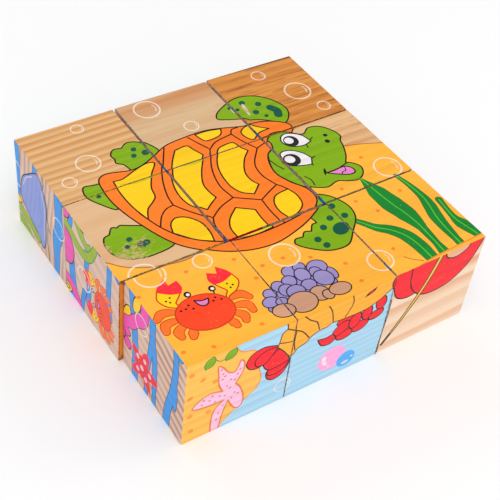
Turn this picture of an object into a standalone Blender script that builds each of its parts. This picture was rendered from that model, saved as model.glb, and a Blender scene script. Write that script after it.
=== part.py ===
"""Picture-cube puzzle: nine loose solid wooden cubes standing side by side as a 3 x 3 block.

Frame: +Z is up, the origin is the centre of the block's base, the front of the block faces -Y and the
picture on top is upright when it is seen from the front.
"""
import math

import bmesh
import bpy
from mathutils import Matrix, Vector

MM = 0.001

# Driving dimensions
SIDE = 35.0 * MM         # side of every cube
GAP = 0.5 * MM           # mean gap between neighbours that are pushed together by hand
EDGE_RADIUS = 0.6 * MM   # sanded edges and corners
EDGE_STEPS = 3           # facets across one sanded edge

PITCH = SIDE + GAP
ROUGHNESS = 0.42         # printed wood under a thin varnish

# How each cube stands in the block: (name, column, row, nudge right mm, nudge back mm, yaw degrees, colour).
# Columns run -1, 0, 1 from left to right and rows -1, 0, 1 from front to back.
CUBES = (
    ("cube_front_left", -1, -1, 0.45, 0.05, -0.65, (0.90, 0.42, 0.08)),
    ("cube_front_middle", 0, -1, 0.25, -0.30, -0.45, (0.72, 0.42, 0.22)),
    ("cube_front_right", 1, -1, 0.30, -0.15, 0.00, (0.85, 0.42, 0.08)),
    ("cube_middle_left", -1, 0, -0.60, 0.25, -0.30, (0.72, 0.42, 0.17)),
    ("cube_centre", 0, 0, -0.25, 0.10, -0.30, (0.95, 0.36, 0.05)),
    ("cube_middle_right", 1, 0, 0.20, 0.00, 0.00, (0.42, 0.42, 0.06)),
    ("cube_back_left", -1, 1, -0.45, 0.15, 0.00, (0.72, 0.42, 0.20)),
    ("cube_back_middle", 0, 1, -0.10, 0.10, -0.50, (0.75, 0.48, 0.26)),
    ("cube_back_right", 1, 1, 0.30, 0.15, -0.55, (0.66, 0.33, 0.10)),
)


def remove_old_objects():
    """Empty the scene, so that the script can be run again in one session."""
    for old in list(bpy.data.objects):
        bpy.data.objects.remove(old, do_unlink=True)


def standing_place(column, row, nudge_right, nudge_back, yaw):
    """Where a cube stands: a matrix whose origin is the centre of the cube's base."""
    place = Vector((column * PITCH + nudge_right * MM, row * PITCH + nudge_back * MM, 0.0))
    return Matrix.Translation(place) @ Matrix.Rotation(math.radians(yaw), 4, "Z")


def block_centre(places):
    """Centre of the box around all the cubes, on the table."""
    half = SIDE / 2
    corners = [place @ Vector((x, y, 0.0)) for place in places for x in (-half, half) for y in (-half, half)]
    across = [corner.x for corner in corners]
    deep = [corner.y for corner in corners]
    return Vector(((min(across) + max(across)) / 2, (min(deep) + max(deep)) / 2, 0.0))


def pivot_point(column, row):
    """A point of the cube's own axis of motion, seen from the centre of its base.

    The centre cube and the corner cubes lift straight up from where they stand. A cube in the middle of
    a side of the block rolls outwards over its bottom outer edge.
    """
    on_one_side_only = (column == 0) != (row == 0)
    if on_one_side_only:
        return Vector((column, row, 0.0)) * (SIDE / 2)
    return Vector((0.0, 0.0, 0.0))


def cube_mesh(name, pivot):
    """A plain cube that stands on its base, with the mesh's origin at the pivot."""
    mesh = bpy.data.meshes.new(name)
    shape = bmesh.new()
    bmesh.ops.create_cube(shape, size=SIDE)
    bmesh.ops.translate(shape, verts=shape.verts, vec=Vector((0.0, 0.0, SIDE / 2)) - pivot)
    shape.to_mesh(mesh)
    shape.free()
    return mesh


def sand_edges(cube):
    """Round every edge and corner, as sanding does."""
    bevel = cube.modifiers.new("sanded_edges", "BEVEL")
    bevel.width = EDGE_RADIUS
    bevel.segments = EDGE_STEPS
    bevel.limit_method = "NONE"


def printed_wood(name, colour):
    """The mean colour of one cube's wood and printing."""
    material = bpy.data.materials.new(name + "_wood")
    material.use_nodes = True
    shader = material.node_tree.nodes["Principled BSDF"]
    shader.inputs["Base Color"].default_value = (*colour, 1.0)
    shader.inputs["Roughness"].default_value = ROUGHNESS
    shader.inputs["Metallic"].default_value = 0.0
    return material


def make_cube(name, pivot, place, colour):
    """One solid wooden cube of the puzzle."""
    cube = bpy.data.objects.new(name, cube_mesh(name, pivot))
    bpy.context.scene.collection.objects.link(cube)
    cube.data.materials.append(printed_wood(name, colour))
    cube.matrix_world = place @ Matrix.Translation(pivot)
    sand_edges(cube)
    return cube


def build():
    remove_old_objects()
    places = [standing_place(*entry[1:6]) for entry in CUBES]
    to_origin = Matrix.Translation(-block_centre(places))
    for (name, column, row, *_, colour), place in zip(CUBES, places):
        make_cube(name, pivot_point(column, row), to_origin @ place, colour)


build()
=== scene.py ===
"""The looks of the picture-cube puzzle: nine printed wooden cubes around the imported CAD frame.

Every cube is one piece. Each of its six faces is a flat mesh cut along the edges of the printed shapes,
with the ink's colour and cover stored on the mesh, and it runs over half of each rounded edge to meet the
next face. Pictures are drawn in cube units: x and y run from 0 to 3 over a picture of 3 x 3 tiles.
"""
import math
from collections import namedtuple

import bpy
import numpy as np
from mathutils import Matrix, Vector
from mathutils.geometry import delaunay_2d_cdt


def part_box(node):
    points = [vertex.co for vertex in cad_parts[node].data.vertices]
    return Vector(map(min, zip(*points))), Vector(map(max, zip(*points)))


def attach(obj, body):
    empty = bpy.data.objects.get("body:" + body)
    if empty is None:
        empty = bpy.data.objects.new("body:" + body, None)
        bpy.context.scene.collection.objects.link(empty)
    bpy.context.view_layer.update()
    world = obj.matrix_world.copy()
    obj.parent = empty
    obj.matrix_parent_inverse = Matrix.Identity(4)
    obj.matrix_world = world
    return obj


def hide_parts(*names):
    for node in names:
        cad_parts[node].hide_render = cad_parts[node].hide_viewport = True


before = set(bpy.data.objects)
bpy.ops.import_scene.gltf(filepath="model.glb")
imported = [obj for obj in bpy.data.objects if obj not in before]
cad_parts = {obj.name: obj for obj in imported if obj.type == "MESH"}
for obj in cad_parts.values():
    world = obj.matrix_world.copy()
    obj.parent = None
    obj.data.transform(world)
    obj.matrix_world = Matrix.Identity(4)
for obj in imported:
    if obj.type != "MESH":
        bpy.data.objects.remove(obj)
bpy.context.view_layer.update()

MM = 0.001
EDGE_RADIUS = 0.20 * MM         # the print and varnish fill the sanded edge out a little
SKIN = 0.10 * MM                # how far print and varnish stand out of the bare wood, sideways
DENT = 0.10 * MM                # depth of the small dents along the edges
EDGE_ANGLES = (15.0, 30.0)      # degrees into a rounded edge, which a face covers up to 45
GRID_LINES = 17                 # plain lines across a tile, so that no triangle is long
CURVE_STEP = 0.014              # cube units between the points of a drawn curve
OUTLINE = 0.0070                # half the width of the printed outlines, in cube units
WELD = 1e-5                     # cube units within which two points of a tile are the same
EDGE_WELD = 2e-4                # the same for points of two tiles along the cube's edge between them
ON_FACE = 1e-6                  # cube units within which a point counts as on a face of the unit cube
MARGIN = 0.08                   # how far beyond a tile its outlines are still followed, in cube units
LEAST_AREA = 1e-11              # triangles smaller than half of this, in square cube units, are left out


# ---------------------------------------------------------------- inks

INKS = {
    "sand": "ffb43a", "sand_dot": "f5862a", "line": "140500", "white": "f8e8dc",
    "orange": "ff7c20", "yellow": "fecb0e", "green": "80ac04", "teal": "00563f",
    "eye": "efe8ea", "pupil": "1c1c22", "tongue": "e684c8", "leaf": "00842a", "rib": "58c030",
    "crab": "ff4520", "crab_leg": "ff7426", "crab_line": "cc3c10", "claw": "fb2836", "purple": "9c8fc4",
    "ink_blue": "1a1036", "stone": "d09a7c",
    "sky": "2c96ea", "sky_line": "2a4868", "peri": "8898dc", "magenta": "f04cb4", "moss": "9ab41c",
    "moss_line": "1c8a40", "red": "ea1c30", "sea": "a2d8f4", "pale_pink": "fac0dc", "pink_line": "e67c3c",
    "lobster": "ffae30", "lobster_red": "f81226", "maroon": "360808", "pearl": "ffaada", "drop": "50aef4",
    "leaf_edge": "003c14", "sand_edge": "b8682a", "sand_front": "ffbe50", "side_crab": "fa4a20",
    "pink_dot": "d8805c", "gold": "eec248", "gold_line": "3c2c0c", "deep": "3f86cc", "sand_deep": "f08c28",
    "lobster_line": "4a2806", "burnt": "6a3312", "rust": "dc6a1c",
}


def linear(code):
    """A colour written as six hexadecimal digits, as linear light."""
    values = np.array([int(code[i : i + 2], 16) for i in (0, 2, 4)]) / 255
    return np.where(values <= 0.04045, values / 12.92, ((values + 0.055) / 1.055) ** 2.4)


INK_LIGHT = {name: linear(code) for name, code in INKS.items()}


# ---------------------------------------------------------------- drawing

def curve(points, closed=True):
    """A smooth line through a few points. A point with a third value is a sharp corner."""
    places = np.array([p[:2] for p in points], float)
    sharp = [len(p) > 2 for p in points]
    count = len(places)
    steps = range(count if closed else count - 1)
    out = []
    for i in steps:
        before, start, end, after = (places[(i + k) % count] for k in (-1, 0, 1, 2))
        length = np.linalg.norm(end - start)
        straight = (end - start) / length
        lead = straight if sharp[i] or (not closed and i == 0) else \
            (end - before) / (length + np.linalg.norm(start - before))
        last = not closed and i == count - 2
        trail = straight if sharp[(i + 1) % count] or last else \
            (after - start) / (length + np.linalg.norm(after - end))
        t = np.linspace(0, 1, max(2, math.ceil(length / CURVE_STEP) + 1))[:-1, None]
        out.append((2 * t**3 - 3 * t**2 + 1) * start + (t**3 - 2 * t**2 + t) * lead * length
                   + (3 * t**2 - 2 * t**3) * end + (t**3 - t**2) * trail * length)
    if not closed:
        out.append(places[-1:])
    return np.concatenate(out)


def oval(x, y, across, high=None, turn=0.0):
    """An ellipse's outline: half its width and half its height, turned by degrees."""
    high = across if high is None else high
    count = max(14, math.ceil(2 * math.pi * max(across, high) / CURVE_STEP))
    angle = np.linspace(0, 2 * math.pi, count, endpoint=False)
    c, s = math.cos(math.radians(turn)), math.sin(math.radians(turn))
    a, b = across * np.cos(angle), high * np.sin(angle)
    return np.stack([x + c * a - s * b, y + s * a + c * b], 1)


def sides(path, half, closed):
    """The two edges of a line of that half width, which may change along it."""
    ahead = np.roll(path, -1, 0) - path
    if not closed:
        ahead[-1] = ahead[-2]
    ahead /= np.linalg.norm(ahead, axis=1, keepdims=True) + 1e-12
    behind = np.roll(ahead, 1, 0)
    if not closed:
        behind[0] = ahead[0]
    mean = ahead + behind
    mean /= np.linalg.norm(mean, axis=1, keepdims=True) + 1e-12
    stretch = np.minimum(1 / np.maximum((mean * ahead).sum(1), 0.4), 2.0)
    normal = np.stack([-mean[:, 1], mean[:, 0]], 1) * (half * stretch)[:, None]
    return path + normal, path - normal


def line_outline(path, half):
    """The outline of a line with round ends."""
    left, right = sides(path, half, False)
    caps = []
    for end, corner, radius in ((path[-1], left[-1], half[-1]), (path[0], right[0], half[0])):
        start = math.atan2(*(corner - end)[::-1])
        angle = start - np.linspace(0, math.pi, max(3, math.ceil(math.pi * radius / CURVE_STEP) + 2))[1:-1]
        caps.append(end + radius * np.stack([np.cos(angle), np.sin(angle)], 1))
    return np.concatenate([left, caps[0], right[::-1], caps[1]])


class Sheet:
    """One printed picture of 3 x 3 tiles: a list of marks, the later ones over the earlier ones."""

    def __init__(self):
        self.marks = []
        self.rubs = []
        self.only = None

    def fill(self, outline, ink, cover=1.0):
        self.marks.append(("fill", np.asarray(outline, float), 0.0, ink, cover, self.only))

    def line(self, path, ink="line", half=OUTLINE, closed=False, cover=1.0):
        """half is one half width, or one for each end, with a smooth change along the line."""
        path = np.asarray(path, float)
        widths = np.interp(np.linspace(0, 1, len(path)), np.linspace(0, 1, np.size(half)),
                           np.atleast_1d(half))
        if closed:
            path = np.concatenate([path, path[:1]])
            widths = np.append(widths, widths[0])
        self.marks.append(("line", path, widths, ink, cover, self.only))

    def shape(self, outline, ink, edge="line", half=OUTLINE):
        """A filled shape with a printed outline."""
        self.fill(outline, ink)
        self.line(outline, edge, half, closed=True)

    def stroke(self, points, ink="line", half=OUTLINE, cover=1.0):
        """A smooth open line through a few points."""
        self.line(curve(points, closed=False), ink, half, cover=cover)

    def blob(self, points, ink, edge="line", half=OUTLINE):
        """A smooth filled shape through a few points, with a printed outline."""
        self.shape(curve(points), ink, edge, half)

    def ring(self, x, y, radius):
        """A bubble: a white ring with two short glints inside it."""
        self.line(oval(x, y, radius), "white", 0.030 * radius + 0.004, closed=True, cover=0.70)
        for start, stop in ((-38, 4), (14, 30)):
            angle = np.radians(np.linspace(start, stop, 7))
            glint = np.stack([x + 0.70 * radius * np.cos(angle), y + 0.70 * radius * np.sin(angle)], 1)
            self.line(glint, "white", 0.04 * radius + 0.001, cover=0.55)

    def rub(self, x, y, across, high, turn=0.0, strength=1.0):
        """A place where the print is rubbed off in specks."""
        self.rubs.append((x, y, across, high, math.radians(turn), strength))

    def dots(self, places, radius, ink, cover=1.0):
        for x, y in places:
            self.fill(oval(x, y, radius, radius * 0.86, 30.0 * math.sin(37 * x + 11 * y)), ink, cover)


class Spot:
    """Where a motif goes on a sheet: moved, sized and turned by degrees."""

    def __init__(self, x, y, size=1.0, turn=0.0):
        c, s = math.cos(math.radians(turn)) * size, math.sin(math.radians(turn)) * size
        self.size = size
        self.at = np.array([x, y])
        self.axes = np.array([[c, s], [-s, c]])

    def __call__(self, path):
        return np.asarray(path)[:, :2] @ self.axes + self.at


# ---------------------------------------------------------------- a tile of a picture as a mesh

def crossings(outline):
    """Where a closed outline crosses the tile's four sides: (side, place along it)."""
    a, b = outline, np.roll(outline, -1, 0)
    found = []
    for axis in (0, 1):
        for level in (0.0, 1.0):
            da, db = a[:, axis] - level, b[:, axis] - level
            hit = (da > 0) != (db > 0)
            t = da[hit] / (da[hit] - db[hit])
            along = a[hit, 1 - axis] + t * (b[hit, 1 - axis] - a[hit, 1 - axis])
            touch = a[np.abs(da) < WELD, 1 - axis]
            found += [((axis, level), v) for v in (*along, *touch) if 0.0 < v < 1.0]
    return found


def edge_depths(side):
    """How far in from a tile's side the lines of the rounded edge lie, in cube units."""
    radius = EDGE_RADIUS / side
    return [radius * (1 - math.tan(math.radians(angle))) for angle in EDGE_ANGLES] + [radius]


def near_runs(outline):
    """The parts of a closed outline on or near the tile: (points, whether that is all of it)."""
    near = ((outline > -MARGIN) & (outline < 1 + MARGIN)).all(1)
    if near.all():
        return [(outline, True)]
    keep = near | np.roll(near, 1) | np.roll(near, -1)
    start = int(np.argmin(keep))
    keep, outline = np.roll(keep, -start), np.roll(outline, -start, 0)
    cuts = np.flatnonzero(np.diff(np.concatenate([[0], keep.astype(int), [0]])))
    return [(outline[a:b], False) for a, b in zip(cuts[::2], cuts[1::2]) if b - a > 1]


class Tile:
    """The part of a sheet that is printed on one face."""

    def __init__(self, sheet, column, row, side):
        self.depths = edge_depths(side)
        self.rubs = [(x - column, y - row, *rest) for x, y, *rest in sheet.rubs]
        self.marks = []
        self.paths = []
        corner = np.array([column, row])
        for kind, path, widths, ink, cover, only in sheet.marks:
            if only is not None and only != (column, row):
                continue
            path = path - corner
            reach = np.max(widths) + 0.01
            if (path.max(0) < -reach).any() or (path.min(0) > 1 + reach).any():
                continue
            self.marks.append((kind, path, widths, ink, cover))
            self.paths.append(path if kind == "fill" else line_outline(path, widths))
        self.crossed = [hit for path in self.paths for hit in crossings(path)]

    def triangulate(self, shared):
        """Cut the tile along every printed edge. shared holds the neighbours' points along each side."""
        points, edges = [], []

        def add(path, closed):
            first, count = len(points), len(path)
            points.extend(map(tuple, path))
            starts = range(count if closed else count - 1)
            edges.extend((first + i, first + (i + 1) % count) for i in starts)

        for path in self.paths:
            for run, closed in near_runs(path):
                add(run, closed)
        add([(0, 0), (1, 0), (1, 1), (0, 1)], True)
        for level in self.depths + [1 - depth for depth in self.depths]:
            add([(level, 0), (level, 1)], False)
            add([(0, level), (1, level)], False)
        ticks = np.linspace(0, 1, GRID_LINES)
        inner = ticks[(ticks > self.depths[-1]) & (ticks < 1 - self.depths[-1])]
        points.extend((x, y) for x in inner for y in inner)
        for (axis, level), places in shared.items():
            for v in places:
                points.append((level, v) if axis == 0 else (v, level))
        result = delaunay_2d_cdt([Vector(p) for p in points], edges, [], 0, WELD)
        place = np.array([v[:] for v in result[0]])
        faces = np.array([f[:] for f in result[2]])
        middle = place[faces].mean(1)
        a, b, c = place[faces[:, 0]], place[faces[:, 1]], place[faces[:, 2]]
        area = np.cross(b - a, c - a)
        inside = ((middle > 0) & (middle < 1)).all(1) & (np.abs(area) > LEAST_AREA)
        self.place, self.faces, self.middle = place, faces[inside], middle[inside]
        flip = area[inside] < 0
        self.faces[flip] = self.faces[flip][:, ::-1]
        self.ink_faces()
        self.rub_points()

    def rub_points(self):
        """How much of the print is rubbed off at each point."""
        self.rubbed = np.zeros(len(self.place))
        for x, y, across, high, turn, strength in self.rubs:
            dx, dy = self.place[:, 0] - x, self.place[:, 1] - y
            along = (dx * math.cos(turn) + dy * math.sin(turn)) / across
            over = (dy * math.cos(turn) - dx * math.sin(turn)) / high
            self.rubbed = np.maximum(self.rubbed, strength * np.exp(-along**2 - over**2))

    def ink_faces(self):
        """Each triangle takes the ink of the last mark that lies over its middle."""
        self.ink = np.zeros((len(self.faces), 3))
        self.cover = np.zeros(len(self.faces))
        for kind, path, widths, ink, cover in self.marks:
            reach = float(np.max(widths))
            low, high = path.min(0) - reach, path.max(0) + reach
            near = np.flatnonzero(((self.middle > low) & (self.middle < high)).all(1))
            if not len(near):
                continue
            test = within if kind == "fill" else close_to
            hit = near[test(self.middle[near], path, widths)]
            if cover >= 1.0:
                self.ink[hit] = INK_LIGHT[ink]
                self.cover[hit] = 1.0
            else:
                under = self.cover[hit, None]
                both = cover + under * (1 - cover)
                self.ink[hit] = (INK_LIGHT[ink] * cover + self.ink[hit] * under * (1 - cover)) / both
                self.cover[hit] = both[:, 0]


def within(spots, outline, _):
    """Which spots lie inside a closed outline."""
    a, b = outline, np.roll(outline, -1, 0)
    x, y = spots[:, 0, None], spots[:, 1, None]
    straddles = (a[:, 1] > y) != (b[:, 1] > y)
    rise = b[:, 1] - a[:, 1]
    rise = np.where(rise == 0, 1e-12, rise)
    left_of = x < (b[:, 0] - a[:, 0]) * (y - a[:, 1]) / rise + a[:, 0]
    return ((straddles & left_of).sum(1) % 2).astype(bool)


def close_to(spots, path, widths):
    """Which spots lie within a line's half width."""
    a, run = path[:-1], path[1:] - path[:-1]
    square = np.maximum((run**2).sum(1), 1e-16)
    offset = spots[:, None, :] - a
    t = np.clip((offset * run).sum(2) / square, 0, 1)
    gap = np.linalg.norm(offset - t[:, :, None] * run, axis=2)
    width = widths[:-1] + t * (widths[1:] - widths[:-1])
    return (gap < width * 1.0005).any(1)


# ---------------------------------------------------------------- motifs

def turtle_flippers(sheet):
    """The turtle's four spotted flippers and its tail, which lie behind its shell."""

    def spots(places, radius):
        for x, y in places:
            sheet.fill(oval(x, y, radius, 0.88 * radius, 40), "teal")

    sheet.blob([(1.07, 2.25), (1.05, 2.35), (0.98, 2.46), (0.88, 2.50), (0.80, 2.455, 1), (0.72, 2.465),
                (0.665, 2.40), (0.675, 2.345, 1), (0.66, 2.29), (0.71, 2.24), (0.76, 2.10),
                (1.0, 2.12)], "green")
    spots([(0.89, 2.39), (0.85, 2.31)], 0.030)
    spots([(0.965, 2.305)], 0.040)
    sheet.blob([(0.42, 2.09), (0.33, 2.12), (0.255, 2.13), (0.22, 2.03), (0.26, 1.92),
                (0.39, 1.755)], "green")
    spots([(0.32, 1.97)], 0.024)
    sheet.blob([(0.48, 1.48), (0.36, 1.545, 1), (0.31, 1.57), (0.275, 1.555, 1), (0.235, 1.575),
                (0.18, 1.51, 1), (0.12, 1.49), (0.085, 1.38), (0.12, 1.25), (0.22, 1.17), (0.40, 1.135),
                (0.62, 1.18), (0.62, 1.4)], "green")
    spots([(0.30, 1.385), (0.245, 1.31)], 0.03)
    sheet.fill(oval(0.385, 1.29, 0.062, 0.04, 6), "teal")
    sheet.blob([(1.795, 2.43), (1.83, 2.50), (1.93, 2.565), (2.05, 2.615), (2.17, 2.62), (2.30, 2.57),
                (2.40, 2.47), (2.46, 2.34), (2.465, 2.25), (2.42, 2.16), (2.33, 2.09), (2.25, 2.15),
                (2.134, 2.24), (2.05, 2.27, 1), (2.0, 2.33), (1.88, 2.378)], "green")
    spots([(2.12, 2.53), (2.256, 2.449), (2.166, 2.349)], 0.036)
    spots([(2.025, 2.458), (2.229, 2.259), (1.985, 2.52)], 0.024)
    sheet.stroke([(2.333, 2.349), (2.366, 2.286), (2.342, 2.223)], "teal", 0.042)
    sheet.blob([(1.95, 1.14), (2.08, 1.06), (2.155, 0.90), (2.13, 0.75), (2.0, 0.61), (1.87, 0.50),
                (1.70, 0.51), (1.56, 0.60), (1.47, 0.71), (1.50, 0.76), (1.575, 0.755, 1), (1.62, 0.80),
                (1.68, 0.78, 1), (1.735, 0.845), (1.78, 0.85), (1.77, 0.94), (1.8, 1.1)], "green")
    spots([(1.92, 0.84), (1.80, 0.77), (1.67, 0.67), (1.70, 0.58), (2.05, 0.80), (2.02, 0.95)], 0.036)
    sheet.fill(oval(1.93, 0.69, 0.085, 0.068, 25), "teal")


def turtle_shell(sheet):
    """The turtle's orange shell with its yellow scutes and the seams between them."""
    sheet.blob([(0.395, 2.09), (0.43, 2.17), (0.51, 2.20), (0.75, 2.145), (0.92, 2.185), (1.15, 2.30),
                (1.36, 2.33), (1.62, 2.33), (1.95, 2.235), (2.16, 2.195), (2.33, 2.09), (2.355, 2.01),
                (2.26, 1.93), (2.1, 1.87), (1.93, 1.775), (1.852, 1.55), (1.90, 1.38), (1.99, 1.22),
                (1.975, 1.06), (1.80, 0.935), (1.58, 0.85), (1.33, 0.80), (1.08, 0.835), (0.84, 0.95),
                (0.62, 1.16), (0.47, 1.50), (0.39, 1.83)], "orange")
    for scute in (
        [(0.52, 2.08, 1), (0.61, 2.075), (0.76, 2.13), (0.90, 2.165), (0.965, 2.14), (0.87, 2.02),
         (0.78, 1.87), (0.75, 1.75), (0.70, 1.70), (0.62, 1.64), (0.557, 1.525, 1), (0.515, 1.72),
         (0.505, 1.93)],
        [(1.20, 2.205, 1), (1.33, 2.215), (1.36, 2.14), (1.40, 2.04, 1), (1.27, 1.86), (1.19, 1.70),
         (1.185, 1.58), (1.20, 1.50, 1), (1.12, 1.45), (1.05, 1.40, 1), (0.96, 1.53), (0.945, 1.70),
         (1.0, 1.90), (1.09, 2.06)],
        [(1.56, 2.04), (1.64, 2.07), (1.74, 2.065), (1.765, 1.98), (1.80, 1.915, 1), (1.70, 1.82),
         (1.61, 1.67), (1.60, 1.56), (1.63, 1.475, 1), (1.58, 1.43), (1.525, 1.385, 1), (1.43, 1.46),
         (1.39, 1.60), (1.43, 1.84)],
        [(1.48, 2.322, 1), (1.62, 2.318), (1.745, 2.29, 1), (1.70, 2.22), (1.60, 2.195), (1.52, 2.205)],
        [(1.885, 2.15), (1.93, 2.20), (2.0, 2.215), (2.06, 2.15), (2.14, 2.085, 1), (2.02, 2.07),
         (1.945, 2.02), (1.90, 2.06)],
        [(0.66, 1.285, 1), (0.70, 1.39), (0.77, 1.435), (0.86, 1.40), (0.935, 1.29), (0.945, 1.16),
         (0.92, 1.04, 1), (0.79, 1.13)],
        [(1.10, 0.985, 1), (1.105, 1.11), (1.16, 1.21), (1.28, 1.31, 1), (1.42, 1.21, 1), (1.41, 1.09),
         (1.415, 0.975, 1), (1.25, 0.965)],
        [(1.63, 0.985, 1), (1.60, 1.09), (1.615, 1.20), (1.68, 1.28), (1.83, 1.305, 1), (1.855, 1.20),
         (1.83, 1.08), (1.74, 1.01)],
    ):
        sheet.blob(scute, "yellow")
    for seam in (
        [(0.53, 1.62), (0.60, 1.40), (0.70, 1.225), (0.86, 1.075), (1.02, 0.995), (1.25, 0.963),
         (1.50, 0.97), (1.72, 0.995)],
        [(0.605, 1.40), (0.68, 1.51), (0.76, 1.57), (0.835, 1.585, 1), (0.90, 1.48), (1.04, 1.29)],
        [(0.835, 1.585), (0.85, 1.71), (0.92, 1.92), (1.02, 2.10), (1.13, 2.28)],
        [(1.0, 0.99), (1.005, 1.20), (1.04, 1.29, 1), (1.17, 1.375), (1.33, 1.43, 1), (1.54, 1.29, 1),
         (1.53, 1.15), (1.535, 0.97)],
        [(1.33, 1.43), (1.31, 1.62), (1.37, 1.85), (1.50, 2.08, 1), (1.60, 2.145), (1.79, 2.18, 1),
         (1.83, 2.05), (1.895, 1.905, 1), (2.02, 1.945)],
        [(1.54, 1.29), (1.64, 1.34), (1.77, 1.40, 1), (1.725, 1.56), (1.75, 1.72), (1.895, 1.905)],
        [(1.77, 1.40), (1.80, 1.36), (1.825, 1.31)],
        [(1.50, 2.08), (1.45, 2.19), (1.40, 2.315)],
        [(1.79, 2.18), (1.83, 2.235), (1.90, 2.24)],
    ):
        sheet.stroke(seam)


def turtle_head(sheet):
    """The turtle's head, which looks to the right over the edge of its shell."""
    sheet.blob([(2.0, 1.24), (2.07, 1.19), (2.15, 1.16), (2.27, 1.185), (2.37, 1.14), (2.46, 1.115),
                (2.55, 1.165), (2.59, 1.25), (2.55, 1.325), (2.50, 1.365, 1), (2.56, 1.44), (2.62, 1.56),
                (2.65, 1.65), (2.69, 1.70), (2.67, 1.80), (2.59, 1.91), (2.48, 1.94), (2.38, 1.885),
                (2.25, 1.985), (2.12, 2.01), (2.03, 1.965), (2.03, 1.90), (2.0, 1.825, 1), (1.93, 1.775),
                (1.853, 1.55), (1.91, 1.37)], "green")
    eyes = (
        ([(2.135, 1.888), (2.169, 1.943), (2.225, 1.964), (2.303, 1.932), (2.365, 1.865), (2.39, 1.765, 1),
          (2.292, 1.742), (2.18, 1.781), (2.141, 1.832)], (2.219, 1.848, 0.073, 0.078),
         (2.205, 1.862, 0.045)),
        ([(2.0, 1.66), (2.018, 1.737), (2.068, 1.756), (2.147, 1.731), (2.219, 1.653), (2.253, 1.563, 1),
          (2.203, 1.485, 1), (2.113, 1.508), (2.012, 1.563)], (2.070, 1.619, 0.083, 0.085),
         (2.057, 1.633, 0.05)),
    )
    for white, iris, glint in eyes:
        sheet.blob(white, "eye", "pupil")
        sheet.fill(oval(*iris), "pupil")
        sheet.fill(oval(*glint), "eye")
    for lash in ([(2.385, 1.778), (2.437, 1.807)], [(2.325, 1.745), (2.309, 1.70)],
                 [(2.247, 1.552), (2.292, 1.566)], [(2.21, 1.49), (2.202, 1.466)]):
        sheet.stroke(lash, half=0.8 * OUTLINE)
    for x, y, radius in ((2.564, 1.774, 0.022), (2.529, 1.692, 0.026)):
        sheet.fill(oval(x, y, radius), "pupil")
    sheet.blob([(2.25, 1.322, 1), (2.359, 1.323), (2.46, 1.320), (2.504, 1.273), (2.499, 1.217),
                (2.443, 1.206), (2.359, 1.245)], "tongue")
    sheet.stroke([(2.365, 1.239), (2.393, 1.267), (2.426, 1.267), (2.448, 1.312)], half=0.7 * OUTLINE)
    sheet.stroke([(2.25, 1.322), (2.36, 1.32), (2.515, 1.356)])
    sheet.stroke([(2.264, 1.378), (2.245, 1.34), (2.222, 1.303)], half=(0.007, 0.015, 0.004))
    sheet.stroke([(2.04, 1.375), (2.065, 1.31), (2.055, 1.235)], half=0.8 * OUTLINE)
    sheet.stroke([(1.905, 1.70), (1.92, 1.62), (1.95, 1.545)], half=0.8 * OUTLINE)


def turtle(sheet):
    """A big sea turtle that swims to the right, in the places it has on the top picture."""
    turtle_flippers(sheet)
    turtle_shell(sheet)
    turtle_head(sheet)


def crab(sheet, spot, body="crab", legs="crab_leg"):
    """A crab that looks out of the picture, about one unit wide around its own middle."""
    size = spot.size
    thin = 0.006 * size

    def limb(points, half):
        path = spot(curve(points, closed=False))
        sheet.line(path, "crab_line", [(h + 0.008) * size for h in half])
        sheet.line(path, legs, [h * size for h in half])

    def part(points, ink, edge="crab_line"):
        sheet.shape(spot(curve(points)), ink, edge, thin)

    for flip in (1, -1):
        for leg in (
            [(0.20, 0.058), (0.275, 0.082), (0.337, 0.085), (0.391, 0.037)],
            [(0.21, -0.022), (0.29, -0.018), (0.347, -0.038), (0.364, -0.103)],
            [(0.18, -0.075), (0.235, -0.095), (0.275, -0.134), (0.268, -0.184)],
            [(0.14, -0.12), (0.165, -0.165), (0.182, -0.210)],
        ):
            limb([(flip * x, y) for x, y in leg], (0.014, 0.030, 0.038, 0.026))
        arm = [(0.19, 0.06), (0.214, 0.094), (0.298, 0.144), (0.348, 0.228), (0.323, 0.314, 1),
               (0.145, 0.253, 1), (0.180, 0.205), (0.218, 0.153), (0.191, 0.112)]
        part([(flip * x + 0.03, y, *sharp) for x, y, *sharp in arm], "yellow")
        claw = [(0.323, 0.314, 1), (0.294, 0.362), (0.226, 0.422, 1), (0.214, 0.346, 1), (0.133, 0.378, 1),
                (0.118, 0.305), (0.142, 0.250, 1), (0.227, 0.262)]
        part([(flip * x + 0.03, y, *sharp) for x, y, *sharp in claw], "claw", "claw")
        for x, y in ((0.245, 0.225), (0.285, 0.200), (0.258, 0.178)):
            sheet.fill(spot(oval(flip * x + 0.03, y, 0.009)), "line")
        eye = (0.035 + flip * 0.105, 0.214)
        sheet.line(spot([(eye[0], 0.16), eye]), "line", 0.006 * size)
        sheet.fill(spot(oval(*eye, 0.031, 0.033)), "line")
        sheet.fill(spot(oval(eye[0] + 0.003, eye[1] - 0.002, 0.016)), "eye")
    part(oval(0, 0, 0.243, 0.185, 0), body)
    part([(-0.045, 0.138, 1), (0.014, 0.119), (0.072, 0.127, 1), (0.060, 0.085), (0.023, 0.061),
          (-0.021, 0.083)], "tongue", "line")
    for x, y in ((-0.180, 0.066), (-0.137, 0.073), (-0.103, 0.104), (-0.078, 0.060), (0.102, 0.087),
                 (0.129, 0.117), (0.170, 0.085)):
        sheet.fill(spot(oval(x, y, 0.010)), "line")


EVEN_ARMS = tuple((90 + 72 * i, 0.49) for i in range(5))


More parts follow.
